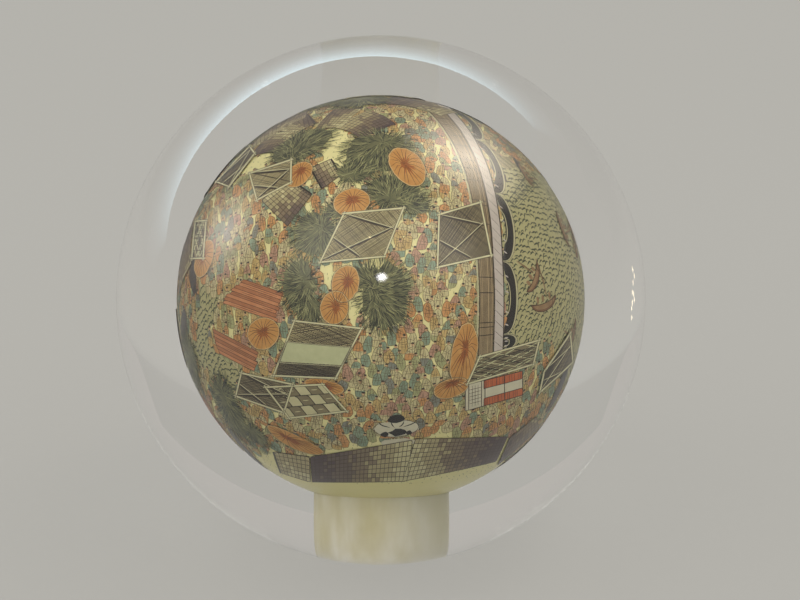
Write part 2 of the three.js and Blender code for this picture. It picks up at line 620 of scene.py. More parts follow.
for page, u, v, turn, wide, high, stream in (
    (front, -0.375, 0.735, 0, 8.0, 6.4, 60),
    (front, -0.45, 0.64, 30, 4.6, 3.4, 150),
    (front, -0.01, 0.70, 0, 8.6, 8.0, 250),
    (front, -0.12, 0.60, 0, 5.0, 3.8, 40),
    (front, 0.07, 0.50, -10, 7.4, 5.8, 80),
    (front, 0.16, 0.43, 0, 3.6, 2.2, 10),
    (front, -0.31, 0.31, 20, 6.0, 6.6, 190),
    (front, -0.20, 0.42, 0, 3.4, 2.6, 120),
    (front, -0.38, 0.07, 0, 5.0, 7.0, 200),
    (front, -0.33, -0.04, 0, 4.0, 3.6, 250),
    (front, 0.02, 0.015, 0, 6.6, 9.4, 340),
    (front, -0.07, 0.10, 0, 3.4, 3.2, 120),
    (front, -0.725, -0.52, 20, 5.4, 10.0, 280),
    (front, -0.60, -0.64, 10, 4.0, 3.4, 300),
    (front, 0.70, -0.72, -20, 7.5, 4.2, 10),
    (front, -0.28, 0.965, 0, 12.0, 5.0, 90),
    (front, -0.92, -0.30, 0, 5.0, 8.0, 270),
    (back, -0.30, 0.36, 0, 6.8, 6.2, 60),
    (back, 0.02, 0.10, 0, 6.6, 7.6, 200),
    (back, 0.50, 0.34, 10, 6.6, 6.0, 120),
    (back, 0.36, -0.22, 0, 6.0, 7.0, 250),
    (back, -0.36, -0.12, 0, 5.4, 5.6, 330),
    (back, 0.74, -0.14, 0, 6.2, 6.4, 100),
    (back, -0.10, -0.46, 0, 6.0, 5.6, 200),
    (back, -0.52, -0.66, 0, 6.4, 5.4, 270),
    (back, 0.44, -0.74, 0, 6.2, 5.0, 300),
    (back, 0.08, 0.62, 0, 6.4, 5.6, 80),
):
    willow(spot(page, u, v, turn), wide, high, stream)

dried(willow_paints)

# ---------------------------------------------------------------------------------------------------
# Parasols: oiled paper on split ribs, seen from above: an amber oval, redder round the heart, with
# fine ribs and a thin bound edge

PARASOL_LEVEL = 6
PARASOL_RIBS = 19

parasol_paper, parasol_heart, parasol_edge, parasol_lines = parasol_paints = mixed(
    PARASOL_LEVEL,
    ("parasol_paper_wash", "bd8038", "e4b56c"),
    ("parasol_heart_wash", "a0521f", "c98238"),
    ("parasol_bound_edges", "cdb47c", "e0cd9a"),
    ("parasol_rib_lines", "4c2d18", "6e4728", "ink"),
)


def parasol(place, wide, high, tip=(0.0, 0.1)):
    """tip is where the heart shows, in shares of the half sizes from the middle."""
    rim = oval(wide, high, 30, wobble=0.018)
    heart = np.array((tip[0] * wide / 2, tip[1] * high / 2))
    blot(parasol_paper, place, rim, 3)
    blot(parasol_heart, place, oval(0.22 * wide, 0.22 * high, 12, heart, 0.2), 1)
    loop(parasol_edge, place, rim * 1.01, 0.09, 2)
    loop(parasol_lines, place, rim * 1.05, 0.055, 0)
    for rib in range(PARASOL_RIBS):
        a = 2 * math.pi * (rib + brush.uniform(-0.2, 0.2)) / PARASOL_RIBS
        end = np.array((wide / 2 * math.cos(a), high / 2 * math.sin(a)))
        bow = np.array((0, 0.08 * high)) * math.cos(a) ** 2
        path = [heart + 0.04 * (end - heart), (heart + end) / 2 + bow, end]
        stroke(parasol_lines, place, path, 0.06, 0, tip=0.3)
        inner = heart + (end - heart) * brush.uniform(0.25, 0.6)
        stroke(parasol_heart, place, [heart, (heart + inner) / 2, inner], 0.2, 1, tip=0.1)


for page, u, v, turn, wide, high, tip in (
    (front, 0.125, 0.625, 22, 3.9, 6.2, (-0.1, 0.1)),
    (front, -0.135, 0.455, 5, 4.3, 3.7, (0.1, 0.15)),
    (front, -0.385, 0.59, -25, 3.4, 3.8, (0.0, 0.3)),
    (front, -0.165, 0.075, -14, 3.3, 4.4, (0.2, 0.2)),
    (front, -0.215, -0.035, -14, 3.4, 4.0, (0.1, 0.1)),
    (front, 0.385, -0.255, -10, 3.4, 7.6, (0.0, 0.2)),
    (front, 0.325, -0.41, 4, 4.4, 2.6, (0.1, 0.6)),
    (front, -0.265, -0.40, -4, 4.8, 1.9, (-0.1, 0.1)),
    (front, -0.41, -0.665, -8, 7.0, 2.7, (-0.3, 0.1)),
    (front, -0.55, -0.155, 25, 4.8, 3.6, (0.1, 0.1)),
    (front, -0.84, 0.20, 10, 4.6, 4.0, (0.0, 0.1)),
    (back, -0.12, 0.30, 0, 4.4, 4.2, (0.1, 0.2)),
    (back, 0.22, 0.26, 10, 4.2, 3.8, (-0.1, 0.2)),
    (back, 0.52, 0.02, -8, 4.4, 4.0, (0.1, 0.1)),
    (back, 0.12, -0.24, 0, 4.0, 4.4, (0.0, 0.2)),
    (back, 0.20, -0.38, 6, 4.2, 3.6, (0.1, 0.1)),
    (back, -0.36, -0.44, 0, 4.6, 3.6, (0.1, 0.1)),
    (back, 0.62, -0.50, 0, 4.2, 3.4, (0.0, 0.1)),
    (back, -0.16, -0.74, 4, 4.4, 2.8, (0.1, 0.1)),
):
    parasol(spot(page, u, v, turn), wide, high, tip)

dried(parasol_paints)

# ---------------------------------------------------------------------------------------------------
# Stall awnings: woven straw mats tied on frames of pale poles. The weave is fine slanting lines with
# long braces under it, and some have a plain green cloth, a chequer or loose planks instead.

AWNING_LEVEL = 0
WEAVE_PITCH = 0.3

awning_mat, awning_dark, awning_cloth, awning_pale, awning_weave, awning_poles = awning_paints = mixed(
    AWNING_LEVEL,
    ("awning_straw_mats", "b8aa78", "d2c694"),
    ("awning_dark_mats", "7a6d4e", "9b8f69"),
    ("awning_green_cloths", "bcbe8e", "d2d2a4"),
    ("awning_pale_squares", "c6be8f", "ded6aa"),
    ("awning_weave_lines", "2f2516", "4a3c27", "ink"),
    ("awning_pole_lines", "d2cc9e", "e8e2b8"),
)


def frame_poles(place, corners, width=0.24, past=0.25):
    """The four poles of a frame, each a little past its corners, between thin inked edges."""
    corners = np.asarray(corners, float)
    for start, end in zip(corners, np.roll(corners, -1, 0)):
        ahead = (end - start) / np.hypot(*(end - start))
        side = np.array((-ahead[1], ahead[0])) * width / 2
        ends = np.array((start - ahead * past, end + ahead * past))
        stroke(awning_poles, place, ends, width, 1, tip=0.8)
        stroke(awning_weave, place, ends - side, 0.05, 0, tip=0.6)
        stroke(awning_weave, place, ends + side, 0.05, 0, tip=0.6)


def mat(place, corners, paint, folds=True):
    """One woven mat between four corners, darker in the folds that its braces make."""
    a, b, c, d = np.asarray(corners, float)
    across = round((np.hypot(*(b - a)) + np.hypot(*(d - a))) / WEAVE_PITCH)
    sheet(paint, place, corners, 4)
    hatch(awning_weave, place, corners, across, 1, 0.075, 3, 0.3)
    hatch(awning_weave, place, corners, across // 2, -1, 0.06, 3, 0.6)
    if folds:
        for x, y in (((0, 1), (0.02, 0.62)), ((0, 0.62), (0.5, 0.02)), ((0.05, 1), (0.96, 0.55))):
            fold = between_corners(corners, x, y)
            stroke(awning_weave, place, fold, 0.3, 2, tip=0.1)
            stroke(awning_poles, place, fold + (0.05, 0.16), 0.09, 1)


def awning(kind, place, corners):
    if kind in ("mat", "dark"):
        mat(place, corners, awning_mat if kind == "mat" else awning_dark)
    if kind == "banded":
        mat(place, between_corners(corners, [0, 1, 1, 0], [0.62, 0.62, 1, 1]), awning_mat, False)
        mat(place, between_corners(corners, [0.04, 0.97, 1, 0], [0, 0, 0.26, 0.26]), awning_dark, False)
        cloth = between_corners(corners, [0, 1, 1, 0], [0.24, 0.24, 0.62, 0.62])
        sheet(awning_cloth, place, cloth, 4)
        frame_poles(place, cloth, 0.1, 0.0)
    if kind == "chequer":
        for i in range(5):
            for j in range(3):
                x = (np.array((i, i + 1, i + 1, i)) + 0.4 * j - 0.4) / 5
                y = np.array((j, j, j + 1, j + 1)) / 3
                square = between_corners(corners, np.clip(x, 0, 1), y)
                sheet((awning_pale, awning_dark)[(i + j) % 2], place, square, 4)
                loop(awning_weave, place, square, 0.1, 3)
                if (i + j) % 2:
                    dash = between_corners(square, [0.25, 0.75], [0.5, 0.5])
                    stroke(awning_pale, place, dash, 0.1, 2)
    if kind == "plank":
        sheet(awning_dark, place, corners, 4)
        hatch(awning_cloth, place, corners, 7, 1, 0.12, 3, 0.6)
        hatch(awning_pale, place, corners, 4, -1, 0.1, 2, 0.6)
        hatch(awning_weave, place, corners, 12, 0, 0.07, 2, 0.5)
        hatch(awning_weave, place, corners, 7, -1, 0.14, 3, 0.5)
    frame_poles(place, corners)


for kind, (place, corners) in (
    ("mat", pinned(front, (-0.28, 0.175), (0.015, 0.20), (0.105, 0.425), (-0.17, 0.40))),
    ("dark", pinned(front, (0.26, 0.15), (0.512, 0.207), (0.465, 0.455), (0.27, 0.395))),
    ("banded", pinned(front, (-0.50, -0.35), (-0.21, -0.36), (-0.09, -0.13), (-0.40, -0.095))),
    ("chequer", pinned(front, (-0.43, -0.55), (-0.16, -0.515), (-0.27, -0.39), (-0.54, -0.405))),
    ("dark", pinned(front, (-0.685, -0.45), (-0.455, -0.525), (-0.41, -0.39), (-0.655, -0.34))),
    ("plank", pinned(front, (0.40, -0.39), (0.715, -0.303), (0.742, -0.19), (0.457, -0.264))),
    ("mat", pinned(front, (-0.58, 0.47), (-0.42, 0.55), (-0.42, 0.66), (-0.62, 0.60))),
    ("dark", pinned(front, (-0.72, 0.54), (-0.60, 0.70), (-0.63, 0.74), (-0.79, 0.57))),
    ("dark", pinned(front, (0.75, -0.44), (0.92, -0.30), (0.90, -0.16), (0.77, -0.34))),
    ("plank", pinned(front, (-0.90, 0.20), (-0.84, 0.20), (-0.83, 0.38), (-0.89, 0.38))),
    ("mat", tilted(back, 0.30, 0.05, 0, 7.0, 6.0, 0.9)),
    ("banded", tilted(back, -0.16, -0.12, 4, 6.8, 5.6, -0.7)),
    ("dark", tilted(back, 0.60, 0.20, -4, 6.0, 5.4, 0.6)),
    ("chequer", tilted(back, 0.48, -0.40, 5, 6.4, 4.8, 0.8)),
    ("mat", tilted(back, -0.20, -0.60, -3, 7.0, 4.6, -0.6)),
    ("plank", tilted(back, -0.02, 0.46, 0, 6.4, 5.0, 0.8)),
    ("mat", tilted(back, 0.80, -0.36, 0, 6.0, 5.4, 0.5)),
    ("dark", tilted(back, 0.18, -0.62, 0, 6.0, 4.0, 0.6)),
):
    awning(kind, place, corners)

dried(awning_paints)

# ---------------------------------------------------------------------------------------------------
# Tiled roofs: tiles touched in one by one between ruled lines, plum brown at one end of a slope and
# fading to cream at the other, with a thick black ridge

ROOF_LEVEL = 16
TILE_PITCH = 0.5
TILE_SHARE = (0.07, 0.94)

*roof_shades, roof_joints, roof_ridges = roof_paints = mixed(
    ROOF_LEVEL,
    ("roof_tiles_cream", "c8bf8c", "ddd5a8"),
    ("roof_tiles_straw", "ac9f74", "c2b587"),
    ("roof_tiles_tan", "7f6e54", "96846a"),
    ("roof_tiles_brown", "66544a", "7c6a5c"),
    ("roof_tiles_plum", "4c3a3c", "665251"),
    ("roof_joints", "3a2b1c", "50402c", "ink"),
    ("roof_ridges", "1d1613", "2c231c", "ink"),
)


def slope(place, corners, dark_at, ridge=None):
    """One slope between four corners. dark_at lists how dark it is at each of them."""
    corners = np.asarray(corners, float)
    a, b, c, d = corners
    rows = max(3, round((np.hypot(*(d - a)) + np.hypot(*(c - b))) / 2 / TILE_PITCH))
    columns = max(4, round((np.hypot(*(b - a)) + np.hypot(*(c - d))) / 2 / TILE_PITCH))
    sheet(roof_joints, place, corners, 2)
    low, high = TILE_SHARE
    for row in range(rows):
        for column in range(columns):
            x = (column + np.array((low, high, high, low))) / columns
            y = (row + np.array((low, low, high, high))) / rows
            middle = between_corners([(dark, 0) for dark in dark_at], x.mean(), y.mean())[0]
            shade = round(4 * np.clip(middle + brush.normal(0, 0.07), 0, 1))
            sheet(roof_shades[shade], place, between_corners(corners, x, y), 0)
    loop(roof_joints, place, corners, 0.09, 0)
    for start, end in ridge or ():
        stroke(roof_ridges, place, [corners[start], corners[end]], 0.42, 0, tip=0.8)


def band(page, places, width):
    """A slope that bends along a line on a page: the patch and its corners."""
    place = track(page, places)
    half = width / 2
    return place, np.array(((0, -half), (place.length, -half), (place.length, half), (0, half)))


for (place, corners), dark_at, ridge in (
    (band(front, ((-0.55, 0.70), (-0.51, 0.755), (-0.455, 0.805)), 5.2), (0.9, 0.0, 0.1, 1.0), None),
    (band(front, ((-0.455, 0.805), (-0.40, 0.845), (-0.33, 0.875)), 5.2), (0.0, 0.7, 0.9, 0.1), ((1, 2),)),
    (band(front, ((-0.27, 0.865), (-0.20, 0.87), (-0.14, 0.865)), 5.0), (0.5, 0.0, 0.2, 0.8), ((0, 3),)),
    (band(front, ((-0.14, 0.865), (-0.07, 0.84), (-0.01, 0.80)), 5.0), (0.0, 0.8, 1.1, 0.2), None),
    (pinned(front, (-0.434, 0.345), (-0.322, 0.49), (-0.428, 0.563), (-0.56, 0.47)),
     (0.8, 0.5, 0.0, 0.1), ((1, 2),)),
    (pinned(front, (-0.27, 0.52), (-0.19, 0.58), (-0.235, 0.66), (-0.325, 0.62)),
     (0.8, 0.3, 0.0, 0.5), ((1, 2), (0, 3))),
    (pinned(front, (-0.33, -0.868), (0.12, -0.86), (0.145, -0.655), (-0.335, -0.74)),
     (1.1, -0.1, 0.0, 1.1), None),
    (pinned(front, (0.10, -0.86), (0.55, -0.775), (0.60, -0.65), (0.16, -0.65)), (-0.2, 1.1, 1.1, 0.1), None),
    (pinned(front, (-0.48, -0.83), (-0.34, -0.87), (-0.34, -0.74), (-0.51, -0.72)),
     (0.1, 0.1, 0.3, 0.3), ((0, 3),)),
    (pinned(front, (0.56, -0.80), (0.76, -0.62), (0.74, -0.56), (0.61, -0.66)), (0.9, 0.6, 0.3, 0.8), None),
    (tilted(back, -0.28, 0.16, -12, 7.2, 4.4, 0.3), (0.9, 0.2, 0.1, 0.8), ((0, 3),)),
    (tilted(back, 0.16, 0.42, 14, 6.4, 4.0, 0.3), (0.2, 0.9, 1.0, 0.2), ((1, 2),)),
    (tilted(back, 0.42, 0.52, -8, 6.4, 4.4, 0.3), (0.9, 0.8, 0.1, 0.1), ((0, 1),)),
    (tilted(back, 0.88, 0.10, 10, 5.6, 4.8, 0.3), (0.9, 0.3, 0.3, 0.9), None),
    (tilted(back, -0.16, 0.62, -10, 6.8, 4.4, 0.3), (0.2, 0.9, 0.9, 0.1), None),
    (pinned(back, (-0.42, -0.84), (-0.02, -0.87), (0.0, -0.68), (-0.40, -0.66)), (1.1, 0.1, 0.1, 1.0), None),
    (pinned(back, (0.0, -0.87), (0.42, -0.83), (0.42, -0.67), (0.02, -0.69)), (0.1, 1.1, 1.1, 0.1), None),
):
    slope(place, corners, dark_at, ridge)

dried(roof_paints)

# ---------------------------------------------------------------------------------------------------
# The bridge: a long humped bridge of pale stone, seen from above and a little from the side: a deck
# of brown planks, a parapet ruled with slanting joints, and the low wide arches over the water

BRIDGE_LEVEL = 20
PLANKS_WIDE = 2.2
PARAPET_WIDE = 1.35
ARCH_SPAN = 9.0
ARCH_RISE = 2.0
FIRST_PIER = 1.2

bridge_planks, bridge_stone, bridge_shade, bridge_rims, bridge_lines = bridge_paints = mixed(
    BRIDGE_LEVEL,
    ("bridge_plank_deck", "a08a64", "c0a97e"),
    ("bridge_stone_parapet", "bfb3a6", "dcd2c6"),
    ("bridge_arch_shade", "17130f", "29221b", "ink"),
    ("bridge_arch_rims", "bdb78c", "d8d3aa"),
    ("bridge_joint_lines", "33281d", "4f4131", "ink"),
)


def bridge(place):
    """It runs from the far bank to the near one, with the water on its left."""
    long = place.length
    planks = ((0, -PLANKS_WIDE), (long, -PLANKS_WIDE), (long, -0.15), (0, -0.15))
    parapet = ((0, 0), (long, 0), (long, PARAPET_WIDE), (0, PARAPET_WIDE))
    sheet(bridge_planks, place, planks, 4)
    sheet(bridge_stone, place, parapet, 3)
    hatch(bridge_lines, place, planks, 11, 0, 0.06, 0, 0.2)
    hatch(bridge_lines, place, planks, round(long / 2.2), None, 0.1, 0, 0.4)
    for joint in np.arange(0.3, long - 1.4, 1.25):
        stroke(bridge_lines, place, [(joint, 0), (joint + 1.1, PARAPET_WIDE)], 0.05, 0)
    for off, width in ((-PLANKS_WIDE, 0.1), (-0.12, 0.14), (PARAPET_WIDE, 0.16), (0.0, 0.06)):
        stroke(bridge_lines, place, [(0, off), (long, off)], width, 0, tip=0.9)
    rim = -PLANKS_WIDE - 0.2
    stroke(bridge_rims, place, [(0, rim), (long, rim)], 0.22, 1, tip=0.9)
    for start in np.arange(FIRST_PIER, long, ARCH_SPAN):
        turn = np.linspace(0, math.pi, 25)
        half = min(ARCH_SPAN, long - start) / 2
        middle = start + half
        for share, paint, behind, width in (
            (1.12, bridge_lines, 0, 0.06),
            (1.04, bridge_rims, 1, 0.22),
            (0.92, bridge_lines, 0, 0.05),
            (0.5, bridge_rims, 1, 0.13),
        ):
            x = middle - min(share, 1.0) * half * np.cos(turn)
            y = PARAPET_WIDE + share * ARCH_RISE * np.sin(turn) ** 0.7
            stroke(paint, place, np.stack([x, y], 1), width, behind, tip=0.7)
        for k in (-0.62, -0.2, 0.35, 0.7):
            dab = [(middle + k * half, PARAPET_WIDE + 0.2), (middle + (k + 0.06) * half, PARAPET_WIDE + 0.75)]
            stroke(bridge_stone, place, dab, 0.16, 1)
        x = middle + 0.98 * half * np.cos(turn)
        y = PARAPET_WIDE + 0.98 * ARCH_RISE * np.sin(turn) ** 0.7
        blot(bridge_shade, place, np.stack([x, y], 1), 2)


bridge(
    track(
        front,
        ((0.27, 0.955), (0.385, 0.80), (0.465, 0.62), (0.51, 0.40),
         (0.525, 0.17), (0.53, 0.0), (0.525, -0.25)),
    )
)

dried(bridge_paints)

# ---------------------------------------------------------------------------------------------------
# Shop fronts and the ox: counters with vermilion boards over and under white paper panels, and one
# black and white ox in the square

SHOP_LEVEL = 20

shop_red, shop_white, shop_lines, shop_black = shop_paints = mixed(
    SHOP_LEVEL,
    ("shop_red_counters", "bd5a2c", "d98048"),
    ("shop_white_panels", "cdc6a8", "e4ddc0"),
    ("shop_lattice_lines", "33211a", "4a3426", "ink"),
    ("ox_black_patches", "18140f", "2b241c", "ink"),
)


def shop(place, corners):
    sheet(shop_white, place, corners, 4)
    for low, high in ((0.0, 0.3), (0.68, 1.0)):
        board = between_corners(corners, [0.32, 1, 1, 0.32], [low, low, high, high])
        sheet(shop_red, place, board, 3)
        loop(shop_lines, place, board, 0.07, 0)
        hatch(shop_lines, place, board, 16, None, 0.04, 0, 0.4)
    for x in (0.0, 0.06, 0.28, 0.34, 0.68, 1.0):
        stroke(shop_lines, place, between_corners(corners, [x, x], [0, 1]), 0.09, 0, tip=0.8)
    lattice = between_corners(corners, [0.07, 0.27, 0.27, 0.07], [0.1, 0.1, 0.9, 0.9])
    hatch(shop_lines, place, lattice, 3, None, 0.05, 0)
    hatch(shop_lines, place, lattice, 5, 0, 0.05, 0)
    loop(shop_lines, place, corners, 0.08, 0)


def ox(place):
    blot(shop_white, place, oval(5.2, 2.6, 18, wobble=0.05), 3)
    blot(shop_white, place, oval(4.2, 1.3, 16, (0.2, -2.3), 0.05), 3)
    blot(shop_black, place, oval(2.0, 1.3, 12, (0.0, 1.5), 0.08), 1)
    for x, y, wide, high in ((-1.4, -0.9, 0.9, 0.8), (0.2, -0.6, 2.0, 1.2), (1.5, -0.8, 0.7, 0.7)):
        blot(shop_black, place, oval(wide, high, 10, (x, y), 0.12), 1)
    for x, lean in ((-1.5, -0.6), (-0.4, -0.2), (0.6, 0.3), (1.6, 0.8)):
        path = [(x * 0.5, 0.2), (x * 0.8 + lean, 0.6), (x + lean, 1.1)]
        stroke(shop_black, place, path, 0.16, 1, tip=0.2)
    loop(shop_lines, place, oval(5.3, 2.7, 18), 0.06, 0)


for place, corners in (
    pinned(front, (0.392, -0.52), (0.669, -0.45), (0.663, -0.335), (0.392, -0.396)),
    tilted(back, 0.02, -0.36, 0, 5.4, 3.0),
    tilted(back, 0.66, -0.02, 0, 5.0, 3.0),
):
    shop(place, corners)
ox(spot(front, 0.07, -0.60))
ox(spot(back, -0.42, -0.30, 10))

dried(shop_paints)

# ---------------------------------------------------------------------------------------------------
# The crowd: hundreds of small robed people, each a dab of thin colour with a dot for the head, a cap
# of black hair and a few inked folds. Nobody is drawn on the water or the bare lawns.

CROWD_LEVEL = 26
PERSON_PITCH = 1.46
PICTURE_EDGE_ANGLE = 31
SCATTER_FILL = 0.87
FRONT_PREFERENCE = 0.25

ROBE_SHARES = (0.19, 0.15, 0.19, 0.23, 0.08, 0.06, 0.10)
*robes, crowd_faces, crowd_hair, crowd_lines = crowd_paints = mixed(
    CROWD_LEVEL,
    ("crowd_robes_ochre", "c9a862", "e4cb90"),
    ("crowd_robes_orange", "cf9250", "e6b47c"),
    ("crowd_robes_teal", "84997e", "a8b898"),
    ("crowd_robes_beige", "cfc28c", "e6dcac"),
    ("crowd_robes_rose", "bd8e72", "d6b094"),
    ("crowd_robes_slate", "85897a", "a2a392"),
    ("crowd_robes_olive", "aaab74", "c8c792"),
    ("crowd_face_dots", "d3a878", "e8c79c"),
    ("crowd_hair_caps", "2b2119", "41342a", "ink"),
    ("crowd_fold_lines", "5c4828", "7c6640", "ink"),
)


def person(place):
    """One standing person, about two millimetres high with the head, in a jacket over a skirt."""
    upper, lower = brush.choice(len(ROBE_SHARES), 2, p=ROBE_SHARES)
    if brush.uniform(0, 1) < 0.6:
        lower = upper
    size = np.array((brush.uniform(0.56, 0.76), brush.uniform(0.84, 1.12)))
    lean = brush.normal(0, 0.14)
    right = ((0.8, -0.95), (0.95, -0.2), (0.72, 0.5), (0.3, 0.86))
    robe = np.array([*right, *((-x, y) for x, y in right[::-1]), (0, -1.08)])
    robe = robe * size * brush.normal(1, 0.08, (9, 1)) + np.outer(robe[:, 1], (lean, 0))
    jacket = robe[1:7] + brush.normal(0, 0.06, (6, 2))
    head = np.array((lean * 1.3, size[1] * 0.86 + 0.18))
    blot(robes[lower], place, robe, 6 + 0.45 * lower)
    blot(robes[upper], place, jacket, 3 + 0.45 * upper)
    blot(crowd_faces, place, oval(0.42, 0.48, 8, head), 2)
    blot(crowd_hair, place, oval(0.4, 0.26, 7, head + (0, 0.15)), 1)
    loop(crowd_lines, place, robe, 0.055, 0)
    for start, end in (
        ((-0.1, 0.7), (-0.5, -0.9)),
        ((0.1, 0.7), (0.4, -0.8)),
        ((-0.9, -0.25), (0.9, -0.3)),
        ((-0.8, 0.2), (0.2, -0.05)),
        ((0.75, 0.3), (0.2, 0.0)),
        ((0.0, -0.3), (0.05, -1.0)),
    ):
        path = np.array((start, end)) * size + brush.normal(0, 0.06, (2, 2))
        stroke(crowd_lines, place, path, 0.055, 0, tip=0.3)


def inside(outline, places):
    """Which of these places lie inside an outline."""
    x, y = places.T
    hit = np.zeros(len(places), bool)
    for (x0, y0), (x1, y1) in zip(outline, outline[1:] + outline[:1]):
        crosses = (y0 > y) != (y1 > y)
        hit ^= crosses & (x < (x1 - x0) * (y - y0) / ((y1 - y0) or 1e-9) + x0)
    return hit


def scattered(pitch, jitter):
    """Directions spread evenly over the whole wall at about this pitch in millimetres."""
    count = int(4 * math.pi * (WALL_RADIUS / MM / pitch) ** 2 / SCATTER_FILL)
    k = np.arange(count) + 0.5
    down = np.arccos(1 - 2 * k / count)
    around = math.pi * (1 + 5**0.5) * k
    spread = np.stack([np.cos(around) * np.sin(down), np.sin(around) * np.sin(down), np.cos(down)], 1)
    spread += brush.normal(0, jitter * pitch * MM / WALL_RADIUS, spread.shape)
    return spread / np.linalg.norm(spread, axis=1, keepdims=True)


waters = {
    front: (
        ((0.42, 0.86), (0.53, 0.60), (0.575, 0.30), (0.58, -0.27), (0.80, -0.20), (0.86, -0.42),
         (1.5, -0.25), (1.5, 0.55), (0.75, 0.90)),
        ((-0.86, 0.08), (-0.74, 0.04), (-0.82, -0.16), (-0.74, -0.28), (-0.58, -0.37), (-0.70, -0.44),
         (-0.90, -0.30)),
    ),
    back: (((-1.5, 0.9), (-0.66, 0.66), (-0.66, 0.0), (-0.70, -0.50), (-0.66, -0.70), (-1.5, -0.6)),),
}
lawns = {
    front: (
        ((-0.74, 0.60), (-0.56, 0.60), (-0.44, 0.74), (-0.56, 0.86)),
        ((-0.30, 0.66), (-0.10, 0.50), (-0.06, 0.72), (-0.22, 0.86)),
        ((-0.24, -0.02), (0.0, -0.14), (0.02, 0.20), (-0.28, 0.16)),
        ((-0.80, -0.74), (-0.30, -0.72), (0.15, -0.64), (0.62, -0.64), (0.62, -1.5), (-0.80, -1.5)),
    ),
    back: (((-0.44, -0.68), (0.44, -0.68), (0.44, -1.5), (-0.44, -1.5)),),
}


def page_of(direction):
    """The page that shows this direction better, or the front where they are nearly level."""
    return front if direction @ front.front > direction @ back.front - FRONT_PREFERENCE else back


def drawn_where(pitch, jitter, wanted):
    """A patch round each scattered place where wanted says so."""
    spread = scattered(pitch, jitter)
    spread = spread[np.degrees(np.arccos(np.clip(-spread[:, 2], -1, 1))) > PICTURE_EDGE_ANGLE]
    for page in (front, back):
        mine = np.array([page_of(d) is page for d in spread])
        places = page.find(spread[mine])
        for u, v in places[wanted(page, places)]:
            yield spot(page, u, v)


def on_water(page, places):
    return np.any([inside(outline, places) for outline in waters[page]], 0)


def on_lawn(page, places):
    return np.any([inside(outline, places) for outline in lawns[page]], 0)


for place in drawn_where(PERSON_PITCH, 0.12, lambda page, at: ~on_water(page, at) & ~on_lawn(page, at)):
    person(place)

dried(crowd_paints)

# ---------------------------------------------------------------------------------------------------
# The boats: long decks of planks in two warm browns by the bank, and sampans with a mast and a
# steering oar on the river

BOAT_LEVEL = 24

boat_decks, boat_boards, boat_mats, boat_hulls, boat_shade, boat_lines = boat_paints = mixed(
    BOAT_LEVEL,
    ("boat_deck_wash", "c07a4c", "dca070"),
    ("boat_board_wash", "a8673f", "c98a5c"),
    ("boat_mats_and_masts", "8c6d48", "b09066"),
    ("boat_hull_wash", "6f4a2e", "98704a"),
    ("boat_dark_sides", "2b2729", "464044", "ink"),
    ("boat_plank_lines", "402a17", "5b4129", "ink"),
)


def deck(place, corners, planks):
    for plank in range(planks):
        low, high = plank / planks, (plank + 1) / planks
        ends = brush.uniform(-0.03, 0.03, 2)
        board = between_corners(corners, (ends[0], 1 + ends[1], 1 + ends[1], ends[0]), [low, low, high, high])
        sheet((boat_decks, boat_boards)[plank % 2], place, board, 1)
        loop(boat_lines, place, board, 0.06, 0)
        seam = between_corners(board, brush.uniform(0, 1, 2), [0.5, 0.5])
        stroke(boat_lines, place, seam, 0.05, 0)


def sampan(place, long, deep, mast):
    turn = np.linspace(0, math.pi, 14)
    low = np.stack([-long / 2 * np.cos(turn), -deep * np.sin(turn)], 1)
    top = np.stack([long / 2 * np.cos(turn), -0.35 * deep * np.sin(turn) + 0.06], 1)
    hull = np.vstack([low, top[1:-1]])
    blot(boat_hulls, place, hull, 3, 0.35)
    blot(boat_mats, place, hull * (0.86, 0.7) - (0, 0.1 * deep), 1, 0.35)
    loop(boat_lines, place, hull, 0.09, 0)
    stroke(boat_mats, place, [(0.1 * long, 0), (0.04 * long, mast)], 0.16, 1, tip=0.5)
    stroke(boat_lines, place, [(0.1 * long + 0.1, 0), (0.04 * long + 0.1, mast)], 0.05, 0)
    stroke(boat_lines, place, [(0.35 * long, 0.5), (0.2 * long, -2.6 * deep)], 0.09, 0)
    for x in (-0.25, -0.05, 0.22):
        blot(boat_mats, place, oval(0.5, 0.9, 8, (x * long, 0.2), 0.1), 1)


for (place, corners), planks in (
    (pinned(front, (-0.75, -0.01), (-0.487, -0.10), (-0.455, 0.035), (-0.645, 0.10)), 8),
    (pinned(front, (-0.764, -0.25), (-0.60, -0.33), (-0.566, -0.245), (-0.80, -0.13)), 6),
    (tilted(back, 0.80, -0.58, 14, 6.2, 2.4, 0.2), 6),
):
    deck(place, corners, planks)
for page, u, v, turn, long, deep, mast in (
    (front, 0.77, 0.00, 14, 5.2, 1.3, 4.8),
    (front, 0.90, -0.20, 40, 5.6, 1.3, 2.6),
    (front, 0.70, 0.60, -50, 3.6, 1.1, 2.2),
    (front, 0.88, 0.34, -40, 4.0, 1.2, 3.0),
    (back, -0.84, 0.16, 5, 4.8, 1.4, 4.0),
    (back, -0.80, -0.30, -6, 4.6, 1.3, 3.6),
    (back, -0.90, 0.46, 10, 4.2, 1.2, 3.0),
):
    sampan(spot(page, u, v, turn), long, deep, mast)
for u, v, turn, wide, high in (
    (-0.86, 0.30, 70, 4.6, 1.8),
    (-0.90, 0.14, 100, 6.0, 2.0),
    (-0.95, -0.16, 80, 7.0, 3.0),
    (-0.90, -0.42, 110, 5.0, 2.4),
    (0.56, 0.60, -30, 2.4, 1.6),
    (0.66, 0.64, -60, 2.6, 0.9),
    (0.86, -0.42, 40, 6.0, 2.6),
    (-0.66, -0.72, -50, 7.0, 2.0),
):
    blot(boat_shade, spot(front, u, v, turn), oval(wide, high, 18, wobble=0.12), 2)

dried(boat_paints)

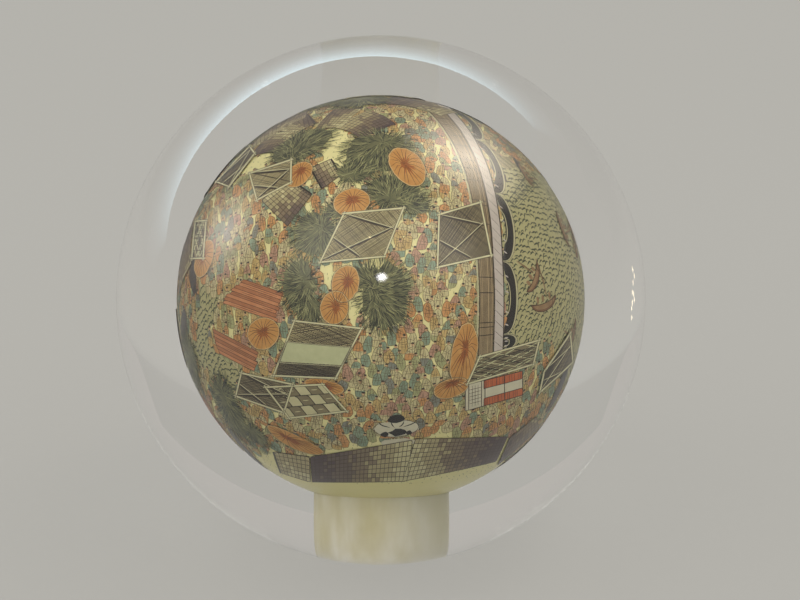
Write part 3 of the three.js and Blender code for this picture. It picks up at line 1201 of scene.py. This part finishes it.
# ---------------------------------------------------------------------------------------------------
# The water and the grass: short curled wave marks in dark green over a thin olive wash, a planked bank
# at the bridge's far end, and ticks of grass where nobody stands

WATER_LEVEL = 38
WAVE_PITCH = 0.72

water_waves, water_wash, water_bank, grass_ticks = water_paints = mixed(
    WATER_LEVEL,
    ("water_wave_strokes", "363d28", "525838", "ink"),
    ("water_olive_wash", "b1ab76", "c8c190"),
    ("water_bank_wash", "9b8f62", "b3a77a"),
    ("grass_tick_strokes", "6f7046", "888854"),
)


def wave(place):
    long = brush.uniform(0.6, 1.0)
    lean = math.radians(brush.normal(25, 20))
    x = np.linspace(-0.5, 0.5, 5) * long
    y = 0.18 * np.sin(2 * math.pi * (np.linspace(-0.5, 0.5, 5) + 0.15))
    curl = np.stack([x * math.cos(lean) - y * math.sin(lean), x * math.sin(lean) + y * math.cos(lean)], 1)
    stroke(water_waves, place, curl, brush.uniform(0.16, 0.25), 0, tip=0.15)


for place in drawn_where(1.5, 0.1, on_water):
    blot(water_wash, place, oval(2.7, 2.7, 14, wobble=0.05), 2)
for place in drawn_where(WAVE_PITCH, 0.14, on_water):
    wave(place)
bank, corners = pinned(front, (0.50, 0.70), (0.60, 0.62), (0.74, 0.66), (0.50, 0.86))
sheet(water_bank, bank, corners, -1)
hatch(water_waves, bank, corners, 7, 0, 0.05, -2)
bank, corners = pinned(front, (0.58, 0.46), (0.64, 0.42), (0.78, 0.56), (0.70, 0.64))
hatch(water_waves, bank, corners, 6, 0, 0.08, -2, 0.3)
hatch(water_waves, bank, corners, 8, None, 0.05, -2, 0.3)
for place in drawn_where(0.85, 0.2, lambda page, at: ~on_water(page, at)):
    high = brush.uniform(0.25, 0.45)
    stroke(grass_ticks, place, [(0, 0), (brush.normal(0, 0.12), high)], 0.06, 1, tip=0.2)

dried(water_paints)

# ---------------------------------------------------------------------------------------------------
# The table's pale seamless paper, the studio's soft lights and the camera

BACKDROP_WIDTH = 3.0
BACKDROP_TURN = 0.9
BACKDROP_RADIUS = 0.35
BACKDROP_TOP = 0.5
BACKDROP_FRONT = -1.2
VIEW_ELEVATION = 19
LENS = 120
BALL_ACROSS = 530 / 800
AIM_RIGHT = 19 / 800
FILM_WIDTH = 36


def backdrop():
    """The paper lets light through from under it, so that the ball throws hardly any shadow on it."""
    paper = Finish("paper", {"Base Color": (0.05, 0.05, 0.048), "Roughness": 0.9, "Emission Strength": 0.37})
    place = paper.place()
    fibre = paper.noise(2 * MM, 4, place)
    clouds = paper.noise(160 * MM, 1, place)
    tint = paper.between(clouds, (0.98, 0.955, 0.88), (1.0, 0.975, 0.90))
    forward = paper.node("ShaderNodeSeparateXYZ", {}, {0: place}, "Y")
    ranges = {"Value": forward, "From Min": -20 * MM, "From Max": -50 * MM}
    near = paper.node("ShaderNodeMapRange", {"interpolation_type": "SMOOTHSTEP"}, ranges)
    tint = paper.between(near, tint, (0.86, 0.92, 0.91))
    paper.set(paper.shader, {"Emission Color": tint, "Normal": paper.bump(fibre, 0.05 * MM)})
    turn = [
        (BACKDROP_TURN + BACKDROP_RADIUS * math.sin(a), BACKDROP_RADIUS * (1 - math.cos(a)))
        for a in np.radians(np.linspace(0, 90, 25))
    ]
    profile = [(BACKDROP_FRONT, 0.0), *turn, (turn[-1][0], BACKDROP_TOP)]
    points = [(x, y, z) for y, z in profile for x in (-BACKDROP_WIDTH / 2, BACKDROP_WIDTH / 2)]
    faces = [(i, i + 1, i + 3, i + 2) for i in range(0, len(points) - 2, 2)]
    shaped("paper_sweep", points, faces, paper)


def towards(azimuth, elevation):
    """A direction from the ball, placed as the camera is: azimuth 0 in front, 90 at the right."""
    a, e = math.radians(azimuth), math.radians(elevation)
    return Vector((math.sin(a) * math.cos(e), -math.cos(a) * math.cos(e), math.sin(e)))


def softbox(name, azimuth, elevation, distance, size, power, tint=(1, 1, 1)):
    """A big lamp that lights the paint and the paper, and is hidden from the ball's gloss."""
    data = bpy.data.lights.new(name, "AREA")
    data.shape = "RECTANGLE"
    data.size, data.size_y = size
    data.energy = power
    data.color = tint
    lamp = bpy.data.objects.new(name, data)
    lamp.location = BALL_CENTRE + towards(azimuth, elevation) * distance
    lamp.rotation_euler = towards(azimuth, elevation).to_track_quat("Z", "Y").to_euler()
    lamp.visible_glossy = False
    bpy.context.scene.collection.objects.link(lamp)


def glow(name, azimuth, elevation, distance, size, strength, tint, fading=1.5, roll=None):
    """A card of light that only the ball's gloss shows, fading to its rim. One with a roll is turned by
    so many degrees and fades from its top down and to its ends."""
    light = Finish(name, {"Base Color": (0, 0, 0), "Roughness": 1.0, "Emission Strength": strength})
    if roll is None:
        left = light.node("ShaderNodeTexGradient", {"gradient_type": "SPHERICAL"}, {"Vector": light.place()})
    else:
        place = light.node("ShaderNodeTexCoord", output="Generated")
        across = light.node("ShaderNodeSeparateXYZ", {}, {0: place}, "X")
        left = light.node("ShaderNodeSeparateXYZ", {}, {0: place}, "Y") * (4 * across * (1 - across)) ** 0.15
    light.set(light.shader, {"Emission Color": tint, "Alpha": left**fading})
    points = [(-1, -1, 0), (1, -1, 0), (1, 1, 0), (-1, 1, 0)]
    card = shaped(name, points, [(0, 1, 2, 3)], light)
    card.location = BALL_CENTRE + towards(azimuth, elevation) * distance
    turn = Quaternion((0, 0, 1), math.radians(roll or 0))
    card.rotation_euler = (towards(azimuth, elevation).to_track_quat("Z", "Y") @ turn).to_euler()
    card.scale = (size[0] / 2, size[1] / 2, 1)
    for way in ("camera", "diffuse", "transmission", "shadow", "volume_scatter"):
        setattr(card, f"visible_{way}", False)


def studio():
    world = bpy.data.worlds.new("studio")
    bpy.context.scene.world = world
    world.use_nodes = True
    shade = world.node_tree.nodes["Background"]
    shade.inputs["Color"].default_value = (1.0, 0.955, 0.885, 1)
    shade.inputs["Strength"].default_value = 0.465
    for name, azimuth in (("fill_left", -56), ("fill_right", 56)):
        softbox(name, azimuth, 48, 1.3, (1.1, 1.1), 10.5, (1.0, 0.975, 0.90))
    glow("window_right", 90, 60, 1.1, (0.9, 1.05), 15.0, (1.0, 0.9, 0.76))
    glow("window_left", -82, 27, 1.1, (0.75, 0.9), 8.5, (1.0, 0.9, 0.82))
    glow("flash", 0.4, 28, 0.42, (0.045, 0.036), 70, (1.0, 0.98, 1.0), 2.0)
    glow("lamp", -6, 44, 0.5, (0.012, 0.012), 22, (1.0, 0.88, 0.5), 1.0)
    glow("sky_behind", 192, 13.5, 1.05, (2.9, 0.7), 3.6, (0.70, 0.90, 1.0), 5.0, roll=-14)
    for number in range(9):
        elevation = brush.uniform(-14.5, -1.5)
        azimuth = 128 + 0.7 * elevation + brush.normal(0, 1.5)
        glow(f"sparkle_{number}", azimuth, elevation, 0.13, (0.003, 0.003), 6, (1.0, 0.86, 0.6), 0.5)


def camera():
    data = bpy.data.cameras.new("camera")
    data.lens = LENS
    data.sensor_width = FILM_WIDTH
    view = bpy.data.objects.new("camera", data)
    bpy.context.scene.collection.objects.link(view)
    half = math.atan(BALL_ACROSS / 2 * FILM_WIDTH / LENS)
    distance = BALL_RADIUS / math.sin(half)
    e = math.radians(VIEW_ELEVATION)
    away = Vector((0, -math.cos(e), math.sin(e)))
    aim = BALL_CENTRE + Vector((1, 0, 0)) * distance * AIM_RIGHT * FILM_WIDTH / LENS
    view.location = BALL_CENTRE + away * distance
    view.rotation_euler = (view.location - aim).to_track_quat("Z", "Y").to_euler()
    data.clip_start = 0.01
    bpy.context.scene.camera = view
    bpy.context.scene.view_settings.view_transform = "Standard"


backdrop()
studio()
camera()
